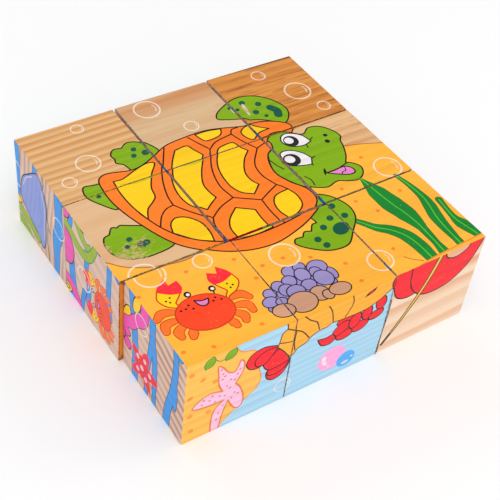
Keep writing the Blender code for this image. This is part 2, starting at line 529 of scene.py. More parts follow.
def starfish(sheet, spot, ink, edge, dot_ink, arms=EVEN_ARMS, waist=0.17, wide=17.0,
             dots=((0.22, 0.028), (0.42, 0.026), (0.61, 0.022), (0.78, 0.018))):
    """A starfish with rows of dots: each arm has a direction in degrees and a length."""
    size = spot.size
    points = []
    for i, (angle, length) in enumerate(arms):
        following = arms[(i + 1) % len(arms)][0] % 360
        gap = (following - angle) % 360
        for turn, share in ((-wide, 0.52), (-0.45 * wide, 0.86), (0, 1), (0.45 * wide, 0.86), (wide, 0.52),
                            (gap / 2, waist / length)):
            way, radius = math.radians(angle + turn), share * length
            points.append((radius * math.cos(way), radius * math.sin(way)))
    sheet.shape(spot(curve(points)), ink, edge, 0.010 * size)
    for angle, length in arms:
        way = math.radians(angle)
        for share, dot in dots:
            x, y = share * length * math.cos(way), share * length * math.sin(way)
            sheet.fill(spot(oval(x, y, dot)), dot_ink)


def weed(sheet, points, widths, tip=0.004):
    """A strap of seaweed with a pale line along its middle. tip is half its last width."""
    path = curve(points, closed=False)
    widths = (*widths, tip)
    sheet.line(path, "leaf_edge", [w + 0.004 for w in widths])
    sheet.line(path, "leaf", widths)
    sheet.line(path[len(path) // 12 :], "rib", 0.006)


def stones(sheet, places):
    for x, y, across, high, turn in places:
        sheet.shape(oval(x, y, across, high, turn), "stone", "line", 0.005)


def lump(sheet, lobes, ink, edge):
    """A cushion of round lobes, as of coral or foam: later lobes lie in front."""
    for lobe in lobes:
        sheet.shape(oval(*lobe), ink, edge, 0.005)


def fish(sheet, spot, body, stripe, edge="ink_blue"):
    """A round-bodied fish that swims to the right, about one unit long."""
    thin = 0.010 * spot.size
    tail = [(-0.28, 0.02, 1), (-0.40, 0.19), (-0.50, 0.17), (-0.455, 0.0), (-0.50, -0.17), (-0.40, -0.17)]
    sheet.shape(spot(curve(tail)), stripe, edge, thin)
    fin = [(-0.16, 0.19), (-0.08, 0.33), (0.10, 0.31), (0.16, 0.18)]
    sheet.shape(spot(curve(fin)), stripe, edge, thin)
    outline = [(0.44, 0.02), (0.33, 0.17), (0.12, 0.25), (-0.12, 0.20), (-0.30, 0.05), (-0.28, -0.07),
               (-0.10, -0.20), (0.12, -0.24), (0.33, -0.14)]
    sheet.shape(spot(curve(outline)), body, edge, thin)
    for x, reach in ((0.10, 0.205), (-0.10, 0.175)):
        band = [(x, reach), (x + 0.035, 0), (x, -reach), (x - 0.06, -reach + 0.01), (x - 0.03, 0),
                (x - 0.06, reach)]
        sheet.shape(spot(curve(band)), stripe, edge, thin * 0.7)
    sheet.shape(spot(oval(0.28, 0.06, 0.062)), "eye", edge, thin * 0.8)
    sheet.fill(spot(oval(0.295, 0.06, 0.032)), "pupil")
    sheet.line(spot(curve([(0.41, -0.05), (0.35, -0.07), (0.31, -0.045)], False)), edge, thin * 0.7)
    lower = [(0.02, -0.10), (-0.08, -0.21), (-0.01, -0.22), (0.11, -0.12)]
    sheet.shape(spot(curve(lower)), stripe, edge, thin * 0.8)


def whale(sheet, spot, body="drop", belly="sea", edge="ink_blue"):
    """A round whale that swims to the left, about two units long."""
    thin = 0.012 * spot.size
    outline = [(-0.95, 0.0), (-0.85, 0.33), (-0.45, 0.55), (0.05, 0.47), (0.45, 0.22), (0.68, 0.22),
               (0.72, 0.45), (0.56, 0.62), (0.74, 0.66), (0.86, 0.54, 1), (0.98, 0.66), (1.13, 0.62),
               (0.95, 0.44), (0.93, 0.15), (0.72, -0.18), (0.25, -0.38), (-0.35, -0.42), (-0.80, -0.28)]
    sheet.shape(spot(curve(outline)), body, edge, thin)
    under = [(-0.93, -0.06), (-0.6, -0.12), (-0.2, -0.10), (0.15, -0.20), (0.42, -0.33), (0.1, -0.395),
             (-0.35, -0.415), (-0.80, -0.275)]
    sheet.shape(spot(curve(under)), belly, edge, thin * 0.7)
    for x in (-0.66, -0.42, -0.18):
        sheet.line(spot(curve([(x, -0.16), (x + 0.04, -0.27), (x + 0.02, -0.37)], False)), edge, thin * 0.5)
    flipper = [(-0.05, -0.05), (0.02, -0.30), (0.22, -0.44), (0.28, -0.22), (0.17, -0.02)]
    sheet.shape(spot(curve(flipper)), body, edge, thin)
    sheet.shape(spot(oval(-0.58, 0.10, 0.075, 0.09)), "eye", edge, thin * 0.7)
    sheet.fill(spot(oval(-0.60, 0.09, 0.042, 0.052)), "pupil")
    for turn in (-1, 0, 1):
        drop = [(-0.42, 0.55), (-0.42 + turn * 0.12, 0.78), (-0.42 + turn * 0.30, 0.80)]
        sheet.line(spot(curve(drop, closed=False)), "white", (0.018 * spot.size, 0.034 * spot.size))


def jelly(sheet, spot, ink="magenta", edge="ink_blue"):
    """A jellyfish of about one unit, with wavy arms."""
    thin = 0.010 * spot.size
    for i in range(5):
        x = -0.22 + 0.11 * i
        arm = [(x, 0.02), (x + 0.05, -0.14), (x - 0.04, -0.28), (x + 0.03, -0.44)]
        sheet.line(spot(curve(arm, closed=False)), edge, (0.032 * spot.size, 0.014 * spot.size))
        sheet.line(spot(curve(arm, closed=False)), ink, (0.024 * spot.size, 0.006 * spot.size))
    bell = [(-0.34, 0.03, 1), (-0.32, 0.25), (-0.15, 0.42), (0.15, 0.42), (0.32, 0.25), (0.34, 0.03, 1),
            (0.23, -0.03), (0.115, 0.03, 1), (0.0, -0.03), (-0.115, 0.03, 1), (-0.23, -0.03)]
    sheet.shape(spot(curve(bell)), ink, edge, thin)
    for x, y in ((-0.18, 0.24), (0.0, 0.31), (0.17, 0.22)):
        sheet.fill(spot(oval(x, y, 0.038)), "pale_pink")
    for flip in (-1, 1):
        sheet.fill(spot(oval(flip * 0.09, 0.12, 0.03)), "pupil")


def scallop(sheet, spot, ink="pale_pink", edge="maroon"):
    """A fan-shaped shell of about one unit."""
    fan = [(0.0, -0.34, 1)]
    for i in range(7):
        angle = math.radians(150 - 20 * i)
        fan.append((0.44 * math.cos(angle), -0.12 + 0.46 * math.sin(angle)))
        if i < 6:
            between = math.radians(140 - 20 * i)
            fan.append((0.41 * math.cos(between), -0.12 + 0.43 * math.sin(between), 1))
    sheet.shape(spot(curve(fan)), ink, edge, 0.010 * spot.size)
    for i in range(6):
        angle = math.radians(140 - 20 * i)
        rib = [(0.02 * math.cos(angle), -0.30), (0.41 * math.cos(angle), -0.12 + 0.43 * math.sin(angle))]
        sheet.line(spot(rib), edge, 0.006 * spot.size)


def streaks(sheet, lines, ink="sky", edge="sky_line"):
    """Streaks of water that run together, with a darker rim: each is (points, half width)."""
    for grow, colour in ((0.008, edge), (0.0, ink)):
        for points, half in lines:
            sheet.stroke(points, colour, np.atleast_1d(half) + grow)


# ---------------------------------------------------------------- the six pictures

BUBBLES = ((1.265, 2.85, .125), (1.52, 2.45, .07), (0.44, 2.40, .11), (0.18, 2.24, .065), (0.57, 2.88, .06),
           (2.51, 2.84, .07), (2.73, 2.46, .13), (2.83, 2.15, .065), (2.81, 1.13, .13), (1.31, 0.65, .13),
           (1.99, 0.215, .11), (0.21, 0.96, .13), (0.67, 0.905, .08))
PEBBLE_DOTS = ((0.05, 0.14), (0.28, 0.08), (0.73, 0.10), (0.02, 0.79), (0.49, 0.86), (0.91, 0.80),
               (0.96, 0.535), (1.08, 0.63), (1.28, 0.625), (1.49, 0.525), (1.71, 0.33), (1.71, 0.105),
               (2.17, 0.27), (2.35, 0.71), (2.25, 0.90), (2.70, 0.83), (2.67, 1.355), (2.24, 1.08))


def top_picture():
    """A turtle over a sandy sea bed, with a crab, coral and seaweed."""
    sheet = Sheet()
    shore = curve([(-0.2, 1.36), (0.0, 1.24), (0.12, 1.12), (0.32, 1.02), (0.6, 0.98), (1.2, 1.1),
                   (2.0, 1.3), (2.5, 1.57), (2.7, 1.54), (2.85, 1.49), (3.0, 1.43), (3.2, 1.35)], False)
    sheet.fill(np.concatenate([shore, [(3.2, -0.2), (-0.2, -0.2)]]), "sand")
    sheet.line(shore, "sand_edge", 0.006)
    sheet.dots(PEBBLE_DOTS, 0.021, "sand_dot")
    weed(sheet, [(2.40, -0.04), (2.40, 0.2), (2.37, 0.35), (2.30, 0.46), (2.2, 0.55), (2.13, 0.65),
                 (2.06, 0.74)], (0.055, 0.068, 0.07, 0.055, 0.035), 0.022)
    turtle(sheet)
    crab(sheet, Spot(0.408, 0.415, 1.0, -9))
    sheet.fill(oval(1.24, 0.30, 0.32, 0.14, 4), "purple")
    lump(sheet, [(1.236, .470, .066, .062), (1.338, .477, .056, .048), (1.471, .405, .092, .082),
                 (1.552, .295, .038, .068), (1.500, .214, .036, .030), (1.43, .36, .055, .065),
                 (1.314, .390, .066, .078), (1.175, .380, .064, .062), (1.061, .372, .058, .060),
                 (0.958, .335, .056, .055), (0.886, .190, .030, .035), (0.916, .258, .070, .056),
                 (1.00, .225, .05, .04), (1.103, .308, .068, .066), (1.299, .275, .068, .060),
                 (1.163, .262, .082, .070), (1.453, .282, .082, .090, 30)], "purple", "ink_blue")
    stones(sheet, [(1.326, .154, .085, .080, -20), (1.145, .142, .132, .108, 0),
                   (0.962, .136, .096, .070, -12), (1.380, .112, .050, .052, 0),
                   (1.504, .121, .100, .067, -5)])
    weed(sheet, [(2.54, -0.05), (2.56, 0.25), (2.565, 0.42), (2.55, 0.58), (2.522, 0.72), (2.502, 0.88),
                 (2.48, 1.12)], (0.062, 0.034, 0.045, 0.095, 0.108, 0.085))
    weed(sheet, [(2.74, -0.04), (2.747, 0.15), (2.757, 0.30), (2.775, 0.42), (2.81, 0.54), (2.832, 0.66),
                 (2.825, 0.85), (2.80, 1.0)], (0.042, 0.038, 0.052, 0.064, 0.060, 0.040, 0.028), 0.018)
    weed(sheet, [(2.958, 0.03), (2.95, 0.10), (2.93, 0.19), (2.908, 0.30), (2.918, 0.42), (2.942, 0.57)],
         (0.036, 0.056, 0.064, 0.032, 0.027), 0.032)
    strip = curve([(2.25, 0.0), (2.42, 0.022), (2.70, 0.036), (3.05, 0.050)], False)
    sheet.fill(np.concatenate([strip, [(3.05, -0.1), (2.25, -0.1)]]), "sand")
    sheet.line(strip, "sand_deep", 0.007)
    sheet.stroke([(2.19, 0.15), (2.24, 0.09), (2.31, 0.035)], "sand_edge", 0.005)
    for smear in ([(0.56, 2.015), (0.70, 1.99), (0.93, 1.995)], [(1.17, 1.99), (1.38, 1.985)]):
        sheet.stroke(smear, "green", (0.006, 0.018, 0.008), cover=0.5)
    sheet.stroke([(2.111, 2.503), (2.098, 2.42), (2.089, 2.34)], "eye", (0.014, 0.020, 0.008), cover=0.6)
    sheet.line([(1.993, 2.51), (1.993, 2.44)], "eye", 0.008, cover=0.6)
    sheet.fill([(2.12, 3.1), (2.14, 2.988), (2.6, 2.976), (3.1, 2.962), (3.1, 3.1)], "burnt", 0.75)
    for x, y, radius in BUBBLES:
        sheet.ring(x, y, radius)
    for x, y, across, high, turn, strength in (
        (0.22, 1.21, 0.22, 0.08, -22, 1.15), (0.09, 1.38, 0.04, 0.16, 0, 1.0),
        (0.32, 1.30, 0.22, 0.11, 10, 0.85), (0.20, 0.99, 0.35, 0.025, 3, 0.9),
        (0.55, 0.88, 0.45, 0.03, -2, 0.75), (1.0, 1.13, 0.02, 0.12, 0, 0.8),
        (2.10, 2.42, 0.05, 0.10, 10, 1.1), (2.02, 2.58, 0.03, 0.03, 0, 0.7),
        (1.0, 0.25, 0.02, 0.10, 0, 0.7), (2.0, 1.28, 0.02, 0.10, 0, 0.6),
        (1.62, 2.62, 0.10, 0.04, 20, 0.7), (1.30, 0.99, 0.5, 0.012, 0, 0.9),
        (1.05, 2.06, 0.02, 0.06, 0, 0.6), (2.25, 1.0, 0.35, 0.012, 0, 0.8), (1.5, 0.985, 0.3, 0.01, 0, 0.6),
    ):
        sheet.rub(x, y, across, high, turn, strength)
    return sheet


def lobster(sheet):
    """A lobster that lies along the top of the front, with its claw in the last tile."""
    for segment in (
        [(0.775, 0.49), (0.78, 0.40), (0.85, 0.345), (0.94, 0.38), (0.995, 0.50), (0.99, 0.535, 1),
         (0.88, 0.48)],
        [(0.775, 0.50, 1), (0.79, 0.43), (0.88, 0.412), (0.96, 0.45), (0.99, 0.53, 1), (0.90, 0.51)],
        [(0.555, 0.71), (0.60, 0.80), (0.70, 0.83), (0.80, 0.80), (0.87, 0.765, 1), (0.80, 0.70),
         (0.70, 0.60), (0.60, 0.62)],
        [(0.64, 0.70), (0.70, 0.76), (0.78, 0.775), (0.85, 0.755, 1), (0.80, 0.67), (0.735, 0.605),
         (0.66, 0.62)],
        [(0.724, 0.60, 1), (0.78, 0.645), (0.845, 0.73, 1), (0.90, 0.70), (0.955, 0.61), (0.99, 0.53, 1),
         (0.91, 0.505), (0.80, 0.50), (0.75, 0.54)],
    ):
        sheet.blob(segment, "lobster_red", "maroon", 0.006)
    for x, y, across, high, turn in (
        (1.520, 0.715, 0.085, 0.050, 0), (1.545, 0.530, 0.090, 0.062, 0), (1.495, 0.625, 0.098, 0.066, 38),
        (1.705, 0.555, 0.088, 0.062, 12), (1.635, 0.655, 0.062, 0.096, -8),
        (1.865, 0.615, 0.080, 0.055, 15), (1.755, 0.690, 0.055, 0.090, 4), (1.895, 0.745, 0.056, 0.085, 10),
    ):
        sheet.shape(oval(x, y, across, high, turn), "lobster_red", "maroon", 0.006)
    horn = [(1.255, 0.61, 1), (1.34, 0.59), (1.41, 0.595), (1.45, 0.53), (1.40, 0.485), (1.31, 0.51)]
    sheet.blob(horn, "lobster_red", "maroon", 0.006)
    body = [(0.92, 1.10), (0.92, 0.94, 1), (0.875, 0.90), (0.86, 0.81), (0.845, 0.755, 1), (0.92, 0.66),
            (0.985, 0.565), (1.015, 0.57), (1.055, 0.625), (1.13, 0.65), (1.18, 0.70), (1.26, 0.735),
            (1.32, 0.735), (1.38, 0.762, 1), (1.48, 0.748), (1.63, 0.74), (1.76, 0.748), (1.88, 0.80),
            (1.98, 0.87), (2.05, 0.93), (2.05, 1.10)]
    sheet.blob(body, "lobster", "lobster_line", 0.006)
    for seam in (
        [(0.92, 0.935), (0.995, 0.88), (1.08, 0.81), (1.155, 0.70)],
        [(1.055, 1.02), (1.14, 0.92), (1.21, 0.86), (1.25, 0.75)],
        [(1.295, 1.02), (1.35, 0.92), (1.385, 0.775)],
        [(1.545, 1.02), (1.568, 0.90), (1.51, 0.76)],
        [(0.86, 0.795), (0.93, 0.765), (1.01, 0.745)],
        [(1.01, 0.86), (1.005, 0.73), (1.025, 0.62)],
    ):
        sheet.stroke(seam, "lobster_line", 0.006)
    sheet.fill(curve([(1.68, 0.905, 1), (1.72, 0.955), (1.81, 0.985, 1), (1.77, 0.935)]), "maroon")
    sheet.fill(oval(1.745, 0.946, 0.026, 0.009, 35), "lobster_red")
    arm = [(2.13, 1.1), (1.98, 0.97), (2.005, 0.83), (2.06, 0.70), (2.15, 0.645), (2.25, 0.64),
           (2.36, 0.70), (2.3, 1.1)]
    sheet.blob(arm, "lobster_red", "maroon")
    claw = [(2.19, 1.10), (2.175, 0.92), (2.20, 0.78), (2.27, 0.66), (2.38, 0.58), (2.53, 0.555),
            (2.70, 0.59), (2.85, 0.71), (2.94, 0.88), (2.975, 1.10), (2.84, 1.10), (2.81, 0.97),
            (2.72, 0.912), (2.63, 0.912), (2.555, 0.96), (2.52, 1.10)]
    sheet.blob(claw, "lobster_red", "maroon")
    feeler = curve([(2.50, 1.05), (2.42, 0.80), (2.31, 0.55), (2.16, 0.29), (2.03, 0.10)], False)
    sheet.line(feeler, "gold_line", (0.029, 0.025, 0.017))
    sheet.line(feeler[: -len(feeler) // 8], "gold", (0.017, 0.012, 0.004))


def front_picture():
    """Sand and shallow water with a starfish, pearls and a lobster."""
    sheet = Sheet()
    shore = curve([(0.43, 1.0), (0.50, 0.90), (0.62, 0.85), (0.67, 0.74), (0.685, 0.60), (0.72, 0.45),
                   (0.69, 0.34), (0.56, 0.235), (0.33, 0.02), (0.2, -0.1)], closed=False)
    sheet.fill(np.concatenate([shore, [(1.99, -0.1), (2.0, 0.2), (2.02, 0.5), (2.0, 1.0)]]), "sea", 0.90)
    sheet.line([(1.985, -0.1), (1.99, 0.15), (2.012, 0.5), (2.01, 0.7)], "line", 0.005)
    beach = np.concatenate([shore, [(-0.2, -0.1), (-0.2, 3.2), (0.985, 3.2), (0.985, 2.0), (0.985, 1.0)]])
    sheet.fill(beach, "sand_front", 0.94)
    sheet.fill([(0.055, 1.0), (0.055, 1.5), (0.055, 2.0), (-0.1, 2.0), (-0.1, 1.0)], "rust", 0.75)
    sheet.line(shore, "sand_dot", 0.005)
    sheet.dots([(0.05, 0.87), (0.155, 0.755), (0.27, 0.67), (0.05, 0.585), (0.06, 0.345), (0.235, 0.30),
                (0.08, 0.14)], 0.028, "sand_dot", 0.8)
    for x, lean in ((0.205, 12), (0.395, -2)):
        leaf = Spot(x, 0.925, 1.0, lean)
        sheet.shape(leaf(curve([(0.045, 0.06, 1), (0.055, 0.01), (0.02, -0.045), (-0.045, -0.05, 1),
                                (-0.05, 0.0), (-0.015, 0.05)])), "green", "moss_line", 0.004)
    sheet.stroke([(0.25, 0.95), (0.30, 0.90), (0.35, 0.90)], "moss_line", 0.004)
    star = [(0.29, 0.84), (0.335, 0.80), (0.385, 0.72), (0.446, 0.683), (0.475, 0.73), (0.50, 0.80),
            (0.535, 0.75), (0.53, 0.65), (0.472, 0.525, 1), (0.52, 0.45), (0.56, 0.32), (0.563, 0.22),
            (0.524, 0.172), (0.47, 0.22), (0.414, 0.34, 1), (0.37, 0.17), (0.335, -0.03), (0.28, -0.03),
            (0.27, 0.20), (0.30, 0.30), (0.369, 0.366, 1), (0.24, 0.375), (0.078, 0.424), (0.16, 0.51),
            (0.25, 0.53), (0.35, 0.495, 1), (0.31, 0.60), (0.30, 0.70)]
    sheet.blob(star, "pale_pink", "pink_line", 0.008)
    sheet.dots([(0.32, 0.78), (0.34, 0.72), (0.36, 0.68), (0.34, 0.65), (0.42, 0.605), (0.46, 0.58),
                (0.48, 0.64), (0.50, 0.69), (0.39, 0.54), (0.42, 0.50), (0.18, 0.48), (0.26, 0.485),
                (0.165, 0.43), (0.235, 0.445), (0.33, 0.445), (0.29, 0.395), (0.38, 0.42), (0.47, 0.41),
                (0.505, 0.38), (0.445, 0.355), (0.37, 0.30), (0.335, 0.22),
                (0.32, 0.14)], 0.012, "pink_dot")
    lobster(sheet)
    sheet.ring(0.96, 0.20, 0.075)
    sheet.fill(oval(1.462, 0.26, 0.146), "pearl")
    sheet.stroke([(1.375, 0.305), (1.378, 0.25), (1.405, 0.205)], "eye", (0.020, 0.022, 0.014), cover=0.85)
    sheet.fill(oval(1.44, 0.165, 0.013), "eye", 0.8)
    sheet.fill(oval(1.627, 0.16, 0.098), "drop")
    sheet.fill(oval(1.627, 0.113, 0.042, 0.017, 4), "eye", 0.85)
    sheet.fill(oval(1.692, 0.160, 0.013), "eye", 0.85)
    for x, y, size, body, stripe in (
        (0.62, 1.55, 0.95, "lobster", "claw"), (2.30, 1.50, 0.9, "peri", "yellow"),
        (1.45, 2.45, 1.0, "red", "lobster"), (2.55, 2.50, 0.7, "green", "yellow"),
        (0.45, 2.55, 0.7, "magenta", "drop"),
    ):
        fish(sheet, Spot(x, y, size), body, stripe)
    foam = [(1.10, 1.96, .09, .08), (1.20, 1.98, .10, .09), (1.29, 1.95, .07, .07)]
    lump(sheet, foam, "lobster_red", "maroon")
    for x in (0.15, 1.42, 2.85):
        weed(sheet, [(x, 1.05), (x + 0.06, 1.4), (x - 0.05, 1.75), (x + 0.03, 2.1)], (0.03, 0.05, 0.04))
    return sheet


def pool_left_tile(sheet):
    """Weed, a round bell and streaks of water."""
    streaks(sheet, (
        ([(0.06, 1.1), (0.05, 0.85), (0.02, 0.55), (0.0, 0.3)], 0.050),
        ([(0.45, 1.1), (0.42, 0.92), (0.40, 0.8)], 0.034),
        ([(0.90, 1.1), (0.89, 0.88), (0.895, 0.62), (0.83, 0.42), (0.82, 0.20), (0.80, -0.1)],
         (0.062, 0.08, 0.03)),
    ))
    sheet.ring(0.03, 0.62, 0.14)
    bell = [(0.085, 0.50), (0.15, 0.68), (0.28, 0.80), (0.40, 0.90), (0.49, 0.945), (0.575, 0.86),
            (0.635, 0.66), (0.61, 0.42), (0.59, 0.20), (0.53, 0.08), (0.44, 0.17), (0.30, 0.24),
            (0.15, 0.32), (0.085, 0.40)]
    sheet.blob(bell, "peri", "ink_blue")
    sheet.stroke([(0.15, 0.58), (0.22, 0.71), (0.36, 0.83)], "white", 0.006, cover=0.6)
    sheet.stroke([(0.55, 0.80), (0.60, 0.60), (0.575, 0.36), (0.56, 0.22)], "eye", 0.010, cover=0.35)
    sheet.stroke([(0.48, 0.80), (0.52, 0.58), (0.50, 0.36), (0.43, 0.27)], "deep", 0.009, cover=0.4)
    for ragged in ([(0.583, 1.05), (0.602, 0.92), (0.574, 0.84)],
                   [(0.62, 0.80), (0.652, 0.68), (0.645, 0.54), (0.69, 0.41), (0.652, 0.44), (0.63, 0.25),
                    (0.645, 0.0)]):
        sheet.line(ragged, "leaf_edge", 0.012, cover=0.6)
    for points in ([(-0.05, 0.22), (0.12, 0.20), (0.28, 0.17), (0.42, 0.12)],
                   [(-0.05, 0.04), (0.10, 0.07), (0.22, 0.02), (0.3, -0.1)]):
        sheet.stroke(points, "moss_line", 0.058)
        sheet.stroke(points, "moss", 0.048)
    sheet.shape(oval(0.0, 0.31, 0.085, 0.055), "yellow", "line", 0.006)
    sheet.ring(0.88, 0.62, 0.11)


def pool_middle_tile(sheet):
    """A crab on its side with curled weed and round snails."""
    streaks(sheet, (
        ([(1.14, 0.47), (1.14, 0.30), (1.16, 0.10), (1.13, -0.1)], (0.045, 0.06, 0.05)),
        ([(1.44, 0.85), (1.42, 0.62), (1.46, 0.40), (1.44, 0.2)], 0.035),
        ([(1.37, 0.28), (1.33, 0.10), (1.31, -0.1)], 0.03),
        ([(1.12, 1.1), (1.13, 0.95), (1.10, 0.86)], 0.035),
        ([(1.84, 1.1), (1.83, 0.85), (1.82, 0.62), (1.85, 0.40)], 0.034),
    ))
    sheet.blob([(0.9, 0.77), (1.06, 0.775), (1.15, 0.71), (1.185, 0.57), (1.13, 0.42), (1.0, 0.36),
                (0.9, 0.36)], "magenta", "maroon")
    for points in ([(1.20, 1.08), (1.33, 0.94), (1.43, 0.885), (1.50, 0.93)],
                   [(0.95, 0.83), (1.08, 0.83), (1.22, 0.765), (1.34, 0.74), (1.46, 0.785), (1.56, 0.93),
                    (1.62, 1.1)]):
        sheet.stroke(points, "moss_line", (0.052, 0.062, 0.035))
        sheet.stroke(points, "moss", (0.043, 0.052, 0.026))
    sheet.shape(oval(1.0, 0.99, 0.11, 0.09), "magenta", "maroon")
    curl = curve([(0.92, 0.13), (1.08, 0.15), (1.2, 0.08), (1.3, -0.08)], False)
    sheet.line(curl, "maroon", 0.075)
    sheet.line(curl, "magenta", 0.066)
    sheet.shape(oval(1.03, 0.05, 0.09, 0.055, 15), "yellow", "maroon")
    sheet.line(oval(1.03, 0.045, 0.045, 0.022, 15), "line", 0.006, closed=True)
    crab(sheet, Spot(1.715, 0.36, 0.80, 97), "side_crab")
    sheet.ring(1.37, 0.44, 0.12)


def pool_right_tile(sheet):
    """A red starfish, a frill of snails and branching streaks of water."""
    streaks(sheet, (
        ([(2.12, 1.1), (2.16, 0.85), (2.20, 0.55), (2.22, 0.30), (2.21, 0.12), (2.23, -0.1)], 0.045),
        ([(2.47, 1.1), (2.485, 0.80), (2.53, 0.55), (2.54, 0.25), (2.54, -0.1)], (0.044, 0.036, 0.022)),
        ([(2.485, 0.75), (2.45, 0.55), (2.42, 0.30), (2.40, -0.1)], (0.04, 0.02, 0.03)),
        ([(2.83, 1.1), (2.85, 0.80), (2.82, 0.48), (2.76, 0.20), (2.74, -0.1)], (0.032, 0.040, 0.05)),
        ([(2.85, 0.60), (2.865, 0.48), (2.86, 0.32)], (0.03, 0.028, 0.02)),
    ))
    for x, y in ((2.22, 0.93), (2.06, 0.68)):
        sheet.shape(oval(x, y, 0.12, 0.055, 70), "yellow", "line", 0.006)
    frill = curve([(2.34, 1.1), (2.35, 0.93), (2.31, 0.82), (2.21, 0.73), (2.14, 0.64), (2.05, 0.58),
                   (1.95, 0.54)], closed=False)
    sheet.line(frill, "maroon", 0.066)
    for x, y, across, high in ((2.04, 0.47, 0.085, 0.060), (2.08, 0.33, 0.062, 0.065),
                               (2.01, 0.40, 0.03, 0.06)):
        sheet.shape(oval(x, y, across, high), "magenta", "maroon", 0.006)
    sheet.line(frill, "magenta", 0.059)
    starfish(sheet, Spot(2.335, 0.268), "red", "claw", "pale_pink",
             ((9, 0.25), (71, 0.245), (137, 0.215), (228, 0.22), (304, 0.225)), 0.13, 23.0, ((0.5, 0.027),))
    sheet.fill(oval(2.33, 0.26, 0.030), "pale_pink")
    sheet.ring(2.30, 0.77, 0.10)


def left_picture():
    """A rock pool on bare wood, printed sideways."""
    sheet = Sheet()
    for column, draw in enumerate((pool_left_tile, pool_middle_tile, pool_right_tile)):
        sheet.only = (column, 0)
        draw(sheet)
    sheet.only = None
    for x in (0.95, 1.98, 2.9):
        streaks(sheet, [([(x, 1.0), (x - 0.05, 1.5), (x + 0.03, 2.2), (x - 0.04, 3.1)], 0.04)])
    for x, y, turn in ((0.5, 1.5, 90), (1.55, 2.5, 90)):
        crab(sheet, Spot(x, y, 0.95, turn))
    fish(sheet, Spot(1.5, 1.5, 1.0, 90), "lobster", "claw")
    fish(sheet, Spot(2.55, 1.6, 0.9, 90), "peri", "yellow")
    scallop(sheet, Spot(0.5, 2.5, 0.9, 90))
    starfish(sheet, Spot(2.5, 2.5, 0.9, 20), "red", "maroon", "pale_pink")
    return sheet


def back_picture():
    """Deep water with a whale, jellyfish and weed over a strip of sand."""
    sheet = Sheet()
    sheet.fill([(-0.2, -0.2), (3.2, -0.2), (3.2, 3.2), (-0.2, 3.2)], "sea", 0.92)
    swell = curve([(-0.2, 2.2), (0.5, 2.32), (1.3, 2.18), (2.2, 2.34), (3.2, 2.2)], closed=False)
    sheet.fill(np.concatenate([swell, [(3.2, 3.2), (-0.2, 3.2)]]), "sky", 0.9)
    bed = curve([(-0.2, 0.30), (0.35, 0.36), (0.9, 0.24), (1.5, 0.31), (2.1, 0.22), (2.7, 0.33),
                 (3.2, 0.26)], closed=False)
    sheet.fill(np.concatenate([bed, [(3.2, -0.2), (-0.2, -0.2)]]), "sand", 0.95)
    sheet.line(bed, "sand_edge", 0.006)
    sheet.dots([(0.12 + 0.21 * i, 0.12 + 0.05 * math.sin(5 * i)) for i in range(14)], 0.019, "sand_dot")
    for x, high, lean in ((0.22, 0.80, 0.05), (0.40, 0.62, -0.04), (1.60, 0.72, 0.04), (2.80, 0.85, -0.05),
                          (2.62, 0.60, 0.04)):
        stem = [(x, 0.1), (x + lean, 0.1 + high * 0.33), (x - lean, 0.1 + high * 0.66),
                (x + lean, 0.1 + high)]
        weed(sheet, stem, (0.035, 0.055, 0.04))
    whale(sheet, Spot(1.45, 1.55, 1.25))
    jelly(sheet, Spot(0.95, 0.58, 0.62))
    jelly(sheet, Spot(2.62, 2.62, 0.72), "pearl")
    scallop(sheet, Spot(1.28, 0.22, 0.34, 12))
    scallop(sheet, Spot(2.42, 0.18, 0.28, -18), "lobster")
    starfish(sheet, Spot(1.95, 0.18, 0.32, 15), "red", "maroon", "pale_pink")
    fish(sheet, Spot(2.14, 0.66, 0.62, 6), "yellow", "lobster_red")
    fish(sheet, Spot(0.55, 2.65, 0.75), "lobster", "claw")
    for x, y, radius in ((0.62, 0.82, .06), (1.35, 0.75, .08), (1.48, 0.57, .04), (2.50, 0.82, .07),
                         (1.75, 0.90, .05), (1.5, 2.7, .12), (1.85, 2.5, .07), (0.2, 1.2, .1),
                         (2.75, 1.15, .1)):
        sheet.ring(x, y, radius)
    return sheet


def right_picture():
    """Striped fish and shells between streaks of water, on bare wood."""
    sheet = Sheet()
    for i in range(9):
        x = 0.17 + 0.335 * i
        sway = 0.05 * math.sin(2.2 * i)
        streaks(sheet, [([(x, 3.1), (x + sway, 2.3), (x - sway, 1.5), (x + sway, 0.8), (x - 0.03, -0.1)],
                         (0.028, 0.045, 0.034, 0.05, 0.03))])
    for x, y, size, turn, body, stripe in (
        (0.52, 0.55, 0.86, 4, "lobster", "claw"), (1.62, 0.42, 0.74, -6, "magenta", "yellow"),
        (2.50, 0.60, 0.80, 8, "green", "yellow"), (0.62, 1.55, 0.9, -5, "peri", "pearl"),
        (1.72, 1.62, 0.8, 5, "red", "lobster"), (2.55, 1.45, 0.85, 0, "yellow", "drop"),
        (0.50, 2.50, 0.8, 0, "drop", "yellow"), (1.55, 2.55, 0.9, 0, "lobster_red", "pale_pink"),
        (2.50, 2.50, 0.8, -8, "lobster", "magenta"),
    ):
        fish(sheet, Spot(x, y, size, turn), body, stripe)
    starfish(sheet, Spot(1.10, 0.24, 0.36, 10), "red", "maroon", "pale_pink")
    scallop(sheet, Spot(2.08, 0.17, 0.30, 8))
    scallop(sheet, Spot(0.18, 0.14, 0.26, -12), "yellow")
    lump(sheet, [(2.78, .12, .06, .055), (2.88, .17, .07, .06), (2.96, .10, .06, .07),
                 (2.86, .07, .07, .055)],
         "purple", "ink_blue")
    for x, y, radius in ((1.05, 0.80, .09), (1.22, 0.62, .05), (2.02, 0.80, .07), (1.98, 0.62, .04),
                         (2.92, 0.86, .07), (0.12, 0.85, .06), (1.15, 1.85, .1), (2.1, 2.1, .08)):
        sheet.ring(x, y, radius)
    return sheet


